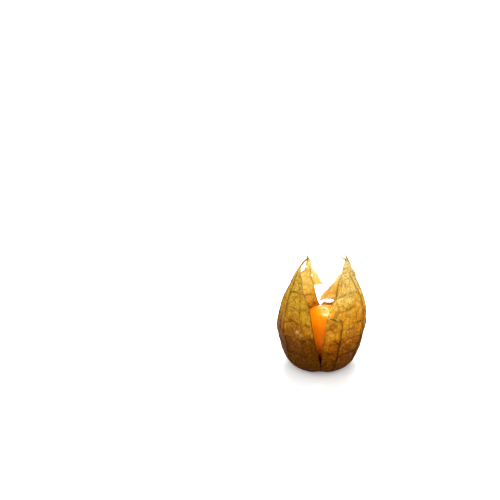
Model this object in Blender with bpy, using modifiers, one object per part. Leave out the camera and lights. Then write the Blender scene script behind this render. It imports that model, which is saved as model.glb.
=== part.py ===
"""A physalis berry standing in its opened husk.

The husk is one papery lantern. It is torn from top to bottom at the front and half way
down at the back, so that its two lobes lean apart and show the berry. A stub of the stalk
comes up through the middle of the husk and carries the berry.

The frame has +Z up and the front at -Y. The origin is in the plane that the husk stands
on, in the middle of its footprint. All named sizes are millimetres, and turn to metres
where a mesh is made.
"""

import math

import bmesh
import bpy
import numpy as np

MM = 0.001

# The lantern
HUSK_HEIGHT = 44.4
HUSK_DEPTH_SHARE = 0.92  # front to back radius beside the side to side radius
HUSK_WALL = 0.65
TIP_WALL_SHARE = 0.5  # the wall's thickness at the tips
TIP_TAPER_FROM = 38.0
LEFT_TIP_X = -4.8
RIGHT_TIP_X = 8.9
LEAN_POWER = 1.6  # the lobes stand upright at the foot and lean more towards the tip
FOOTPRINT_SHIFT_X = -0.45  # puts the origin in the middle of the whole width
CORE_X = 1.2  # the stalk, its hole and the berry stand a little right of the husk's middle

# Radius and height of the outer side, from the stalk out over the foot and up to the tip
STALK_HOLE_RADIUS = 1.55
FOOT_INNER_RADIUS = 6.6
FOOT_OUTER_RADIUS = 8.6
HUSK_PROFILE = [
    (STALK_HOLE_RADIUS, 1.2),
    (2.8, 1.25),
    (4.6, 0.7),
    (FOOT_INNER_RADIUS, 0.0),
    (FOOT_OUTER_RADIUS, 0.0),
    (11.0, 1.0),
    (12.6, 3.0),
    (13.85, 6.3),
    (14.4, 11.0),
    (14.5, 15.0),
    (14.0, 18.8),
    (12.9, 23.0),
    (11.1, 27.2),
    (8.9, 31.0),
    (6.2, 35.6),
    (4.3, 38.8),
    (2.4, 41.6),
    (0.45, HUSK_HEIGHT),
]
FOOT_KNOTS = (3, 4)  # the two profile points that bound the flat foot

# Grooves between the shoulders of the five sepals, on the underside
SEPALS = 5
FRONT_GROOVE_DEG = -91.5
GROOVE_HALF_WIDTH_DEG = 17.0
GROOVE_DEPTH = 0.8
GROOVE_REACH = (3.0, 12.8)  # radii between which a groove runs

# Raised ribs and cross veins
RIB_HEIGHT = 0.42
RIB_SHARE = 0.08  # a rib's half width beside its panel's width
FLAP_RIB_HALF_WIDTH = 0.75
VEIN_HEIGHT = 0.3
VEIN_HALF_WIDTH = 0.5
VEIN_PITCH = 5.7
VEIN_CLIMBS = (2.6, 1.3, 2.0)  # how far the cross veins climb to the middle of a panel, panel by panel
PANEL_HOLLOW = 0.38  # how far a panel lies inside the round between its ribs
FULL_PANEL_WIDTH = 6.0  # a narrower panel is flatter, and its cross veins climb less
CRINKLE = 0.16
RELIEF_FADES_FROM = 36.0  # the ribs and waves die out from here to the tips

# Azimuths in degrees about each lobe's own leaning axis, listed against height
FRONT_SPLIT_FROM = 4.4
BACK_SPLIT_FROM = 15.5
SLIT_FROM = 33.0  # the slit between the two tips of the left lobe
LEFT_FRONT_EDGE = [
    (7.1, -91), (11, -93), (14, -95), (18, -96), (22, -98), (25.5, -99), (28, -102),
    (30.4, -109), (33, -119), (36.5, -127), (37.5, -136), (39, -147), (40.2, -163), (43.2, -172),
    (HUSK_HEIGHT, -172),
]
LEFT_RIB_A = [
    (0, -111), (14, -114), (20, -116), (25, -119), (30, -124), (33, -132), (36.5, -143), (39, -156),
    (43.2, -179), (HUSK_HEIGHT, -172),
]
LEFT_RIB_B = [
    (0, -146), (10.7, -145), (17, -150), (25, -153), (30, -156), (36, -165), (40, -178), (43.2, -189),
    (HUSK_HEIGHT, -172),
]
LEFT_SLIT_NEAR = [
    (0, -181), (20, -182), (30, -185), (SLIT_FROM, -187), (40, -195), (43.2, -204), (HUSK_HEIGHT, -172),
]
LEFT_SLIT_FAR = [(34.5, -212), (36, -236), (37.5, -245), (39, -250), (43.2, -252), (HUSK_HEIGHT, -261)]
LEFT_RIB_D = [
    (0, -217), (20, -222), (28, -227), (32, -233), (36, -247), (39, -257), (43.2, -266), (HUSK_HEIGHT, -261),
]
LEFT_BACK_RIB = [
    (0, -250), (8, -253), (13, -262), (15.5, -273), (17.5, -271), (22, -269), (25.8, -268),
    (30.3, -265), (36, -265), (43.2, -281), (HUSK_HEIGHT, -261),
]
LEFT_BACK_FLAP = [
    (25.8, -268), (26.6, -280), (27.3, -286), (28.6, -284), (29.6, -286), (30.6, -282), (31.6, -285),
    (32.6, -286), (33.6, -282), (34.7, -277), (36, -274), (38, -274), (40.5, -274), (HUSK_HEIGHT, -261),
]
RIGHT_BACK_FLAP = [
    (16.4, 97), (17.8, 96), (18.6, 84), (20.0, 82), (20.6, 99), (22, 102.3), (23.1, 101.5), (24.2, 99.2),
    (25.1, 96), (26, 92), (26.8, 88.4), (27.8, 86), (30.4, 84), (31.7, 82), (32.6, 73), (34, 62),
]
RIGHT_BACK_RIB = [
    (0, 70), (8, 71), (15, 74), (20, 76), (28, 77), (34, 62), (38, 40), (43.2, -20), (HUSK_HEIGHT, -90),
]
RIGHT_RIB_D = [(0, 38), (20, 42), (30, 38), (36, 18), (40, -8), (43.2, -40), (HUSK_HEIGHT, -90)]
RIGHT_RIB_C = [(0, 2), (10, 3), (20, 7), (30, 9), (36, -12), (40, -30), (43.2, -57), (HUSK_HEIGHT, -90)]
RIGHT_RIB_B = [
    (0, -35), (7.5, -35), (11, -30), (14, -26), (20, -22), (26, -19), (28.6, -18), (31, -20),
    (34.2, -29), (37.4, -45), (40, -56), (43.2, -74), (HUSK_HEIGHT, -90),
]
RIGHT_RIB_A = [
    (0, -70), (20, -69), (21.6, -69), (22.5, -71), (23.4, -76), (24.1, -84), (24.4, -91), (24.8, -99),
    (HUSK_HEIGHT, -99),
]
RIGHT_FRONT_EDGE = [
    (7.1, -91), (12, -93), (17.5, -93.5), (20.3, -94), (22.5, -95.5), (24.2, -96), (26.7, -95), (29.1, -92),
    (32.2, -84), (34.2, -80), (37, -86), (39.3, -91), (40.8, -92), (43.2, -93), (HUSK_HEIGHT, -90),
]
FLAP_DROOP = 0.1  # millimetres that the torn back flap hangs down for each degree
FLAP_DROOP_FROM_DEG = 80.0

# The mesh of the husk
FOOT_ROW_STEP = 1.4
RIB_COLUMNS = (0.0, RIB_SHARE, 0.3, 0.5, 0.7, 1 - RIB_SHARE, 1.0)  # across a full panel
FLAP_COLUMNS = (0.0, 0.34, 0.67, 1.0)  # across a torn flap
WELD = 0.01

# The berry
BERRY_RADIUS = 10.0
BERRY_HEIGHT = 19.6
BERRY_CENTRE_Z = 12.3
BERRY_DIMPLE_REACH = 3.6
BERRY_DIMPLE_DEPTH = 0.9
BERRY_CROWN_REACH = 5.2  # the shallow hollow round the scar of the style
BERRY_CROWN_HOLLOW = 0.3
STYLE_SCAR_RADIUS = 0.45
STYLE_SCAR_HEIGHT = 0.3
BERRY_STEPS = 44
BERRY_RINGS = 28
BERRY_RING_CROWDING = 0.6  # 0 spaces the rings evenly, and towards 1 they crowd at the two ends

# The stub of the stalk
STALK_RADIUS = 1.15
STALK_CUT_HEIGHT = 0.35
STALK_PAD_RADIUS = 1.75
STALK_PAD_TOP = 3.1
STALK_STEPS = 20


def smooth(at, knots):
    """The value at each place on the curve through the knots (place, value).

    It is a cubic between each two knots whose slope at a knot is the harmonic mean of the
    slopes on both sides, and 0 where they differ in sign, so that it never overshoots.
    """
    x, y = np.array(knots, float).T
    step = np.diff(x)
    rise = np.diff(y) / step
    same = rise[:-1] * rise[1:] > 0
    both = np.where(same, rise[:-1] + rise[1:], 1.0)
    slope = np.concatenate([rise[:1], np.where(same, 2 * rise[:-1] * rise[1:] / both, 0.0), rise[-1:]])
    i = np.clip(np.searchsorted(x, at, side="right") - 1, 0, len(x) - 2)
    t = np.clip((at - x[i]) / step[i], 0.0, 1.0)
    start = y[i] * (1 + 2 * t) * (1 - t) ** 2 + slope[i] * step[i] * t * (1 - t) ** 2
    end = y[i + 1] * t**2 * (3 - 2 * t) + slope[i + 1] * step[i] * t**2 * (t - 1)
    return start + end


def ramp(at, low, high):
    """0 below low, 1 above high, and a smooth step between."""
    t = np.clip((at - low) / (high - low), 0.0, 1.0)
    return t * t * (3 - 2 * t)


def material(name, colour, roughness):
    """A plain finish for one of the pieces."""
    made = bpy.data.materials.new(name)
    made.use_nodes = True
    shader = made.node_tree.nodes["Principled BSDF"]
    shader.inputs["Base Color"].default_value = (*colour, 1.0)
    shader.inputs["Roughness"].default_value = roughness
    shader.inputs["Metallic"].default_value = 0.0
    return made


def husk_rows():
    """Four columns with a number for each row of the husk, from the stalk's hole to the tips.

    They are the radius, the height, the height that the azimuths and the lean go by, which is 0 on the
    underside, and how nearly the row lies on a cross vein, from 0 to 1. A row lies on each edge of the
    flat foot, on every vein, on both sides of it and half way to the next.
    """
    points = np.array(HUSK_PROFILE)
    along = np.concatenate([[0.0], np.cumsum(np.hypot(*np.diff(points, axis=0).T))])
    inner, outer = along[list(FOOT_KNOTS)]
    spans = ((0.0, inner), (inner, outer))
    foot = [np.linspace(a, b, max(2, round((b - a) / FOOT_ROW_STEP) + 1))[:-1] for a, b in spans]
    veins = np.arange(outer, along[-1], VEIN_PITCH)[:, None]
    side = (veins + [0.0, VEIN_HALF_WIDTH, VEIN_PITCH / 2, VEIN_PITCH - VEIN_HALF_WIDTH]).ravel()
    s = np.concatenate([*foot, side[side < along[-1] - VEIN_HALF_WIDTH], along[-1:]])
    radius = smooth(s, np.column_stack([along, points[:, 0]]))
    height = smooth(s, np.column_stack([along, points[:, 1]]))
    off_vein = np.abs((s - outer + VEIN_PITCH / 2) % VEIN_PITCH - VEIN_PITCH / 2)
    on_vein = np.clip(1 - off_vein / VEIN_HALF_WIDTH, 0, 1) * (s > outer)
    return [v[:, None] for v in (radius, height, np.where(s > outer, height, 0.0), on_vein)]


def lean(z, tip_x):
    """How far a lobe's axis stands off the middle at height z."""
    return tip_x * (z / HUSK_HEIGHT) ** LEAN_POWER


def seam_deg(z, radius):
    """Azimuth at which the two lobes' sections cross, about the left lobe's axis."""
    apart = lean(z, RIGHT_TIP_X) - lean(z, LEFT_TIP_X)
    return np.degrees(np.arccos(np.clip(apart / 2 / radius, -1.0, 1.0)))


def borders(z, radius):
    """For each lobe its panels, clockwise from above, as (from, to, is the first a rib, is the last a rib).

    The borders are azimuths, one for each row. A panel with one rib is a flap that ends in a torn edge
    or in the seam.
    """
    seam = seam_deg(z, radius)

    def torn(split_from, at_seam, knots):
        """The seam below the split, and the listed free edge above it."""
        start = float(np.interp(split_from, z, at_seam))
        return np.where(z <= split_from, at_seam, smooth(z, [(split_from, start), *knots]))

    def rib(knots, last):
        """A listed rib, kept on the clockwise side of the border before it."""
        return np.minimum(smooth(z, knots), last)

    front = torn(FRONT_SPLIT_FROM, -seam, LEFT_FRONT_EDGE)
    a = rib(LEFT_RIB_A, front)
    b = rib(LEFT_RIB_B, a)
    near = rib(LEFT_SLIT_NEAR, b)
    slit_start = (SLIT_FROM, float(np.interp(SLIT_FROM, z, near)))
    far = np.where(z <= SLIT_FROM, near, smooth(z, [slit_start, *LEFT_SLIT_FAR]))
    d = rib(LEFT_RIB_D, far)
    back = rib(LEFT_BACK_RIB, d)
    flap = np.where(z < LEFT_BACK_FLAP[0][0], back, smooth(z, LEFT_BACK_FLAP))
    end = np.minimum(np.where(z <= BACK_SPLIT_FROM, seam - 360, flap), back)
    left = [(front, a, 1, 1), (a, b, 1, 1), (b, near, 1, 1), (far, d, 1, 1), (d, back, 1, 1), (back, end, 1, 0)]

    start = torn(BACK_SPLIT_FROM, 180 - seam, RIGHT_BACK_FLAP)
    back = rib(RIGHT_BACK_RIB, start)
    start = np.where(z > RIGHT_BACK_FLAP[-1][0], back, start)
    d = rib(RIGHT_RIB_D, back)
    c = rib(RIGHT_RIB_C, d)
    b = rib(RIGHT_RIB_B, c)
    front = torn(FRONT_SPLIT_FROM, seam - 180, RIGHT_FRONT_EDGE)
    a = np.maximum(rib(RIGHT_RIB_A, b), front)
    right = [(start, back, 0, 1), (back, d, 1, 1), (d, c, 1, 1), (c, b, 1, 1), (b, a, 1, 1), (a, front, 1, 0)]
    return left, right


def groove(azimuth, radius, z):
    """How far the underside is lifted: full depth in the middle of each groove, and 0 on the shoulders."""
    pitch = 360 / SEPALS
    off = np.abs((azimuth - FRONT_GROOVE_DEG + pitch / 2) % pitch - pitch / 2)
    across = 1 - ramp(off, 0.0, GROOVE_HALF_WIDTH_DEG)
    inner, outer = GROOVE_REACH
    along = ramp(radius, inner, FOOT_INNER_RADIUS) * (1 - ramp(radius, FOOT_OUTER_RADIUS + 1, outer))
    return GROOVE_DEPTH * across * along * (z < HUSK_HEIGHT / 4)


def crinkle(azimuth, z):
    """Low waves of dry paper: a sum of three sines that run across each other."""
    a = np.radians(azimuth)
    waves = np.sin(7 * a + 0.31 * z) + np.sin(4 * a - 0.42 * z + 1.3) + np.sin(11 * a + 0.23 * z + 2.1)
    return CRINKLE * waves / 2 * ramp(z, 2.0, 8.0)


def panel_points(rows, tip_x, panel, number):
    """The outer points of one panel as an array (row, column, xyz).

    A point's azimuth runs evenly from one border to the other. Its radius is the profile's, raised
    on the ribs, lowered between them and waved, and its lobe's axis leans to the side.
    """
    radius, height, z, on_vein = rows
    start, end = panel[0][:, None], panel[1][:, None]
    is_flap = not (panel[2] and panel[3])
    u = np.array(FLAP_COLUMNS if is_flap else RIB_COLUMNS)[None, :]
    azimuth = start + (end - start) * u
    width = radius * np.radians(np.abs(end - start))
    if is_flap:
        from_rib = (u if panel[2] else 1 - u) * width
        on_rib = np.clip(1 - from_rib / FLAP_RIB_HALF_WIDTH, 0.0, 1.0)
    else:
        on_rib = np.clip(1 - np.minimum(u, 1 - u) / RIB_SHARE, 0.0, 1.0) * np.ones_like(z)
    bulge = np.sin(np.pi * u) * np.minimum(1.0, width / FULL_PANEL_WIDTH)
    relief = on_rib * RIB_HEIGHT - bulge * PANEL_HOLLOW + on_vein * (1 - on_rib) * VEIN_HEIGHT
    side = ramp(z, 1.5, 6.0) * (1 - ramp(z, RELIEF_FADES_FROM, HUSK_HEIGHT))
    climb = VEIN_CLIMBS[number % len(VEIN_CLIMBS)] * bulge * side
    waves = crinkle(azimuth, z) * (1 - ramp(z, 36.0, 42.0))
    r = smooth(z + climb, OUTER_BY_HEIGHT) * (z > 0) + radius * (z == 0) + relief * side + waves
    droop = FLAP_DROOP * np.maximum(azimuth - FLAP_DROOP_FROM_DEG, 0) * ramp(z, BACK_SPLIT_FROM, 18.5)
    off_middle = CORE_X * (1 - ramp(radius, STALK_HOLE_RADIUS, FOOT_INNER_RADIUS)) * (z == 0)
    x = lean(z + climb, tip_x) + off_middle + r * np.cos(np.radians(azimuth))
    y = HUSK_DEPTH_SHARE * r * np.sin(np.radians(azimuth))
    up = height + groove(azimuth, radius, z) + climb - droop
    return np.stack(np.broadcast_arrays(x, y, up), axis=-1)


def lobes(rows):
    """The points of both lobes' panels, [[left panels], [right panels]], meeting exactly on the seams."""
    radius, z = rows[0][:, 0], rows[2][:, 0]
    made = []
    for tip_x, panels in zip((LEFT_TIP_X, RIGHT_TIP_X), borders(z, radius)):
        made.append([panel_points(rows, tip_x, panel, number) for number, panel in enumerate(panels)])
    left, right = made
    front = (z <= FRONT_SPLIT_FROM, left[0][:, 0], right[-1][:, -1])
    back = (z <= BACK_SPLIT_FROM, left[-1][:, -1], right[0][:, 0])
    for closed, one, other in (front, back):
        one[closed] = other[closed] = (one[closed] + other[closed]) / 2
    return made


OUTER_BY_HEIGHT = [(z, r) for r, z in HUSK_PROFILE[FOOT_KNOTS[1] :]]


def add_grid(bm, points):
    """Two triangles for each cell of a grid of points, split the same way throughout."""
    corners = [[bm.verts.new(p) for p in row] for row in points * MM]
    for low, high in zip(corners, corners[1:]):
        for a, b, c, d in zip(low, low[1:], high[1:], high):
            bm.faces.new((a, d, c))
            bm.faces.new((a, c, b))


def husk_object(finish):
    """The husk: its panels' outer sheet, welded where they meet, and given its wall inwards."""
    bm = bmesh.new()
    for panels in lobes(husk_rows()):
        for points in panels:
            add_grid(bm, points)
    bmesh.ops.remove_doubles(bm, verts=bm.verts, dist=WELD * MM)
    bmesh.ops.translate(bm, verts=bm.verts, vec=(FOOTPRINT_SHIFT_X * MM, 0, 0))
    mesh = bpy.data.meshes.new("husk")
    bm.to_mesh(mesh)
    bm.free()
    husk = bpy.data.objects.new("husk", mesh)
    wall = husk.vertex_groups.new(name="wall")
    for vertex in mesh.vertices:
        share = 1 - (1 - TIP_WALL_SHARE) * float(ramp(vertex.co.z / MM, TIP_TAPER_FROM, HUSK_HEIGHT))
        wall.add([vertex.index], share, "REPLACE")
    solid = husk.modifiers.new("wall", "SOLIDIFY")
    solid.thickness = HUSK_WALL * MM
    solid.offset = -1.0
    solid.vertex_group = wall.name
    solid.use_even_offset = False
    mesh.materials.append(finish)
    return husk


def turned_object(name, profile, steps, centre, finish):
    """A closed turned solid from its profile (radius, height), listed from top to bottom."""
    mesh = bpy.data.meshes.new(name)
    points = [(r * MM, 0.0, z * MM) for r, z in profile]
    mesh.from_pydata(points, [(i, i + 1) for i in range(len(points) - 1)], [])
    made = bpy.data.objects.new(name, mesh)
    made.location = [c * MM for c in centre]
    screw = made.modifiers.new("turn", "SCREW")
    screw.axis = "Z"
    screw.steps = screw.render_steps = steps
    screw.use_merge_vertices = True
    screw.merge_threshold = 0.00001
    screw.use_smooth_shade = True
    mesh.materials.append(finish)
    return made


def berry_profile():
    """The berry's outline from the style's scar down to the dimple round the stalk.

    It is an ellipse, pressed in by a cosine bell round the scar at the top and round the stalk at the
    bottom, with a small knob for the scar.
    """
    half = BERRY_HEIGHT / 2
    turn = np.linspace(0, 1, BERRY_RINGS + 1)
    angles = np.pi * turn - BERRY_RING_CROWDING / 2 * np.sin(2 * np.pi * turn)
    r = BERRY_RADIUS * np.sin(angles)
    z = half * np.cos(angles)

    def bell(reach):
        """1 on the axis, falling to 0 at the radius reach."""
        return (1 + np.cos(np.pi * np.minimum(r / reach, 1))) / 2

    z = z - BERRY_CROWN_HOLLOW * bell(BERRY_CROWN_REACH) * (z > 0)
    z = z + BERRY_DIMPLE_DEPTH * bell(BERRY_DIMPLE_REACH) * (z < 0)
    top, bottom = float(z[0]), float(z[-1])
    scar = [
        (0.0, top + STYLE_SCAR_HEIGHT),
        (STYLE_SCAR_RADIUS * 0.7, top + STYLE_SCAR_HEIGHT * 0.8),
        (STYLE_SCAR_RADIUS, top),
    ]
    outline = [(float(a), float(b)) for a, b in zip(r[1:-1], z[1:-1])]
    return [*scar, *outline, (0.0, bottom)]


def stalk_profile():
    """The stub's outline from its domed pad down to its cut end."""
    pad = STALK_PAD_TOP
    return [
        (0.0, pad),
        (STALK_PAD_RADIUS * 0.65, pad - 0.12),
        (STALK_PAD_RADIUS, pad - 0.45),
        (STALK_PAD_RADIUS * 0.88, pad - 0.75),
        (STALK_RADIUS, pad - 1.05),
        (STALK_RADIUS, STALK_CUT_HEIGHT + 0.1),
        (STALK_RADIUS - 0.12, STALK_CUT_HEIGHT),
        (0.0, STALK_CUT_HEIGHT),
    ]


def main():
    """Clears the scene and makes the three pieces."""
    for old in list(bpy.data.objects):
        bpy.data.objects.remove(old)
    group = bpy.data.collections.new("physalis_berry")
    bpy.context.scene.collection.children.link(group)
    husk_paper = material("husk_paper", (0.62, 0.36, 0.07), 0.7)
    berry_skin = material("berry_skin", (1.0, 0.34, 0.0), 0.22)
    stalk_wood = material("stalk_wood", (0.16, 0.09, 0.03), 0.8)
    core = CORE_X + FOOTPRINT_SHIFT_X
    pieces = [
        husk_object(husk_paper),
        turned_object("berry", berry_profile(), BERRY_STEPS, (core, 0, BERRY_CENTRE_Z), berry_skin),
        turned_object("stalk", stalk_profile(), STALK_STEPS, (core, 0, 0), stalk_wood),
    ]
    for piece in pieces:
        group.objects.link(piece)


main()
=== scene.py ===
# %% [markdown]
# # A physalis berry in its opened husk
#
# A physalis grows inside a papery lantern, its husk. This one has been torn open down the front
# and two thirds of the way down the back, so it stands in two pointed lobes with the orange berry
# between them.
#
# The named pieces and their sizes come from the CAD model, which has thicker walls. This script
# gives the part its looks: first the shape of the thin paper, then the berry and the stalk, then
# the finish of each, and last the floor, the light and the camera.
#
# Sizes are in millimetres and angles in degrees until a mesh is made. An azimuth is an angle about
# the upright axis: 0 is at the right, 90 at the back, 180 at the left and -90 at the front.

from collections import namedtuple

import bmesh
import bpy
import numpy as np
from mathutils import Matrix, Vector


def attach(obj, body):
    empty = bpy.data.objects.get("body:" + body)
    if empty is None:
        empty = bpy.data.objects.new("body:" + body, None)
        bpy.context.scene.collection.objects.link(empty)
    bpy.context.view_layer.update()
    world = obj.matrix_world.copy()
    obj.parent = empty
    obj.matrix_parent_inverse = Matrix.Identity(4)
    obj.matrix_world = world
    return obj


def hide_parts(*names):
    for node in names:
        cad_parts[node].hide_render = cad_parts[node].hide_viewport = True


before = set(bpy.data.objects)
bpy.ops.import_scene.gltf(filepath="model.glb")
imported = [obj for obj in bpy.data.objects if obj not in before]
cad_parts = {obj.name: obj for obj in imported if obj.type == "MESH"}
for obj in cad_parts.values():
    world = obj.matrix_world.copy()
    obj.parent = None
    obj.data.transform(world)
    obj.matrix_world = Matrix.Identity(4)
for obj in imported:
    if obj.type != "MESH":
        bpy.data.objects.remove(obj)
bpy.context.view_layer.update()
MM = 0.001

# %% [markdown]
# ## The husk's turned shape
#
# Before it is torn, a husk is close to a turned shape: narrow at the hole for the stalk, flat under
# the foot, widest at a third of its height and drawn out to a tip. It could be sculpted, but a
# profile of radius and height is short, and it keeps the size that was measured. The list starts
# at the stalk's hole, and its first four points are the underside.

# %% The turned shape
HUSK_HEIGHT = 44.4
HUSK_DEPTH_SHARE = 0.92  # the husk is a little less deep than wide
STALK_HOLE_RADIUS = 1.55
FOOT_INNER_RADIUS = 6.6
FOOT_OUTER_RADIUS = 8.6
HUSK_PROFILE = [
    (STALK_HOLE_RADIUS, 1.2), (2.8, 1.25), (4.6, 0.7), (FOOT_INNER_RADIUS, 0.0),
    (FOOT_OUTER_RADIUS, 0.0), (11.0, 1.0), (12.6, 3.0), (13.85, 6.3),
    (14.4, 11.0), (14.5, 15.0), (14.0, 18.8), (12.9, 23.0),
    (11.1, 27.2), (8.9, 31.0), (6.2, 35.6), (4.3, 38.8),
    (2.4, 41.6), (0.45, HUSK_HEIGHT),
]
UNDERSIDE_POINTS = 4
OUTER_BY_HEIGHT = [(z, r) for r, z in HUSK_PROFILE[UNDERSIDE_POINTS:]]
print("husk", HUSK_HEIGHT, "mm tall and", 2 * max(r for r, z in HUSK_PROFILE), "mm across its turned shape")

# %% [markdown]
# ## How the lobes stand
#
# Once it is torn, the husk gapes: each lobe leans to its own side, more and more towards its tip.
# The front is open from just above the foot, the back from a third of the height, and the left
# lobe's top has a slit of its own. These few numbers set how far, and where each tear ends.

# %% How the lobes stand
LEFT_TIP_X = -4.8
RIGHT_TIP_X = 8.9
TIPS_X = (LEFT_TIP_X, RIGHT_TIP_X)
LEAN_POWER = 1.6
FOOTPRINT_SHIFT_X = -0.45  # centres the whole outline on the frame's origin
CORE_X = 1.2  # the berry and the stalk stand a little to the right of the husk's axis
FRONT_SPLIT_FROM = 4.4
BACK_SPLIT_FROM = 15.5
SLIT_FROM = 33.0
print("tears end", FRONT_SPLIT_FROM, "mm up at the front and", BACK_SPLIT_FROM, "mm up at the back")

# %% [markdown]
# ## Ribs and torn edges
#
# Ten ribs run up a husk, two to each of its five sepals, and paper tears beside a rib or along it.
# A picture could be traced for these lines, but a short list of (height, azimuth) for each one is
# easier to read and to change. The lists of one lobe run clockwise, seen from above. The points near
# the top bring the ribs of a tip together, and a torn edge has short steps in and out.

# %% The left lobe's ribs and edges
LEFT_FRONT_EDGE = [
    (7.1, -91), (11, -93), (14, -95), (18, -96), (22, -98), (25.5, -99), (28, -102),
    (30.4, -109), (33, -119), (36.5, -127), (37.5, -136), (39, -147), (40.2, -163), (43.2, -172),
    (HUSK_HEIGHT, -172),
]
LEFT_RIB_A = [
    (0, -111), (14, -114), (20, -116), (25, -119), (30, -124), (33, -132), (36.5, -143), (39, -156),
    (43.2, -179), (HUSK_HEIGHT, -172),
]
LEFT_RIB_B = [
    (0, -146), (10.7, -145), (17, -150), (25, -153), (30, -156), (36, -165), (40, -178),
    (43.2, -189), (HUSK_HEIGHT, -172),
]
LEFT_SLIT_NEAR = [
    (0, -181), (20, -182), (30, -185), (SLIT_FROM, -187), (40, -195), (43.2, -204),
    (HUSK_HEIGHT, -172),
]
LEFT_SLIT_FAR = [
    (34.5, -212), (36, -236), (37.5, -245), (39, -250), (43.2, -252), (HUSK_HEIGHT, -261),
]
LEFT_RIB_D = [
    (0, -217), (20, -222), (28, -227), (32, -233), (36, -247), (39, -257), (43.2, -266),
    (HUSK_HEIGHT, -261),
]
LEFT_BACK_RIB = [
    (0, -250), (8, -253), (13, -262), (15.5, -273), (17.5, -271), (22, -269), (25.8, -268),
    (30.3, -265), (36, -265), (43.2, -281), (HUSK_HEIGHT, -261),
]
LEFT_BACK_FLAP = [
    (25.8, -268), (26.6, -280), (27.3, -286), (28.6, -284), (29.6, -286), (30.6, -282), (31.6, -285),
    (32.6, -286), (33.6, -282), (34.7, -277), (36, -274), (38, -274), (40.5, -274), (HUSK_HEIGHT, -261),
]
print("the left lobe's back flap is torn into", len(LEFT_BACK_FLAP), "steps")

# %% [markdown]
# The right lobe leans further out. Its flap at the back is torn free below and hangs over the berry,
# and the rib next to its front edge runs off to that edge half way up. The same kind of lists give
# these forms, so that nothing has to be cut afterwards.

# %% The right lobe's ribs and edges
RIGHT_BACK_FLAP = [
    (16.4, 97), (17.8, 96), (18.6, 84), (20.0, 82), (20.5, 101), (21.2, 103.6), (22.4, 103.6),
    (24.2, 99.6), (25.1, 96), (26, 92), (26.8, 88.4), (27.8, 86), (30.4, 84), (31.7, 82), (32.6, 73),
    (34, 62),
]
RIGHT_BACK_RIB = [
    (0, 70), (8, 71), (15, 74), (20, 76), (28, 77), (34, 62), (38, 40), (43.2, -20), (HUSK_HEIGHT, -90),
]
RIGHT_RIB_D = [(0, 38), (20, 42), (30, 38), (36, 18), (40, -8), (43.2, -40), (HUSK_HEIGHT, -90)]
RIGHT_RIB_C = [(0, 2), (10, 3), (20, 7), (30, 9), (36, -12), (40, -30), (43.2, -57), (HUSK_HEIGHT, -90)]
RIGHT_RIB_B = [
    (0, -35), (7.5, -35), (11, -30), (14, -26), (20, -22), (26, -19), (28.6, -18), (31, -20),
    (34.2, -29), (37.4, -45), (40, -56), (43.2, -74), (HUSK_HEIGHT, -90),
]
RIGHT_RIB_A = [
    (0, -70), (20, -69), (21.6, -69), (22.5, -71), (23.4, -76), (24.1, -84), (24.4, -91), (24.8, -99),
    (HUSK_HEIGHT, -99),
]
RIGHT_FRONT_EDGE = [
    (7.1, -91), (12, -93), (17.5, -93.5), (20.3, -94), (22.5, -95.5), (24.2, -96), (26.7, -95),
    (29.1, -92), (32.2, -84), (34.2, -80), (37, -86), (39.3, -91), (40.8, -92), (43.2, -93),
    (HUSK_HEIGHT, -90),
]
print("the right lobe's back flap is torn into", len(RIGHT_BACK_FLAP), "steps")

# %% [markdown]
# ## A curve through knots
#
# The profile and the ribs need a smooth curve through a few points. Straight pieces would show as
# creases, and a common cubic spline swings past its points, which would make a rib bulge where none
# does. This curve is cubic too, but it never rises or falls further than its knots do.

# %% A curve through knots


def smooth(at, knots):
    """The value at each place on the curve through the knots (place, value).

    It is a cubic between each two knots whose slope at a knot is the harmonic mean of the
    slopes on both sides, and 0 where they differ in sign, so that it never overshoots.
    """
    x, y = np.array(knots, float).T
    step = np.diff(x)
    rise = np.diff(y) / step
    same = rise[:-1] * rise[1:] > 0
    both = np.where(same, rise[:-1] + rise[1:], 1.0)
    slope = np.concatenate([rise[:1], np.where(same, 2 * rise[:-1] * rise[1:] / both, 0.0), rise[-1:]])
    i = np.clip(np.searchsorted(x, at, side="right") - 1, 0, len(x) - 2)
    t = np.clip((at - x[i]) / step[i], 0.0, 1.0)
    start = y[i] * (1 + 2 * t) * (1 - t) ** 2 + slope[i] * step[i] * t * (1 - t) ** 2
    end = y[i + 1] * t**2 * (3 - 2 * t) + slope[i + 1] * step[i] * t**2 * (t - 1)
    return start + end


def ramp(at, low, high):
    """0 below low, 1 above high, and between them 3 t squared less 2 t cubed, t being the share."""
    t = np.clip((at - low) / (high - low), 0.0, 1.0)
    return t * t * (3 - 2 * t)


print("radius half way up", round(float(smooth(HUSK_HEIGHT / 2, OUTER_BY_HEIGHT)), 2), "mm")

# %% [markdown]
# ## A random field
#
# Dry paper is crumpled and its tears are ragged, in no pattern. Blender's own noise textures could
# move the mesh with a Displace modifier, but a field in numpy can be used inside any formula below.
# Its table is seeded, so the same crumples come out in every run.

# %% A random field
NOISE_TABLE = np.random.default_rng(7).uniform(-1.0, 1.0, (64, 64, 64))


def noise(x, y, z):
    """A smooth random field from -1 to 1 with a grain of 1.

    It blends the table's values at the eight corners of the unit cube that holds the place.
    """
    cells = [np.floor(v).astype(int) for v in (x, y, z)]
    shares = [ramp(v - c, 0.0, 1.0) for v, c in zip((x, y, z), cells)]
    total = 0.0
    for corner in np.ndindex(2, 2, 2):
        weight = 1.0
        for side, share in zip(corner, shares):
            weight = weight * (share if side else 1 - share)
        total = total + weight * NOISE_TABLE[tuple((c + side) % 64 for c, side in zip(cells, corner))]
    return total


print("a random field over", NOISE_TABLE.size, "values")

# %% [markdown]
# ## Rows of the sheet
#
# The paper is one sheet that runs from the stalk's hole over the foot and up to the tips. Rows laid
# at equal heights would crowd at the steep sides and leave the flat foot with none, so each row lies
# at one distance along the profile instead.

# %% Rows of the sheet
ROWS = 200


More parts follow.
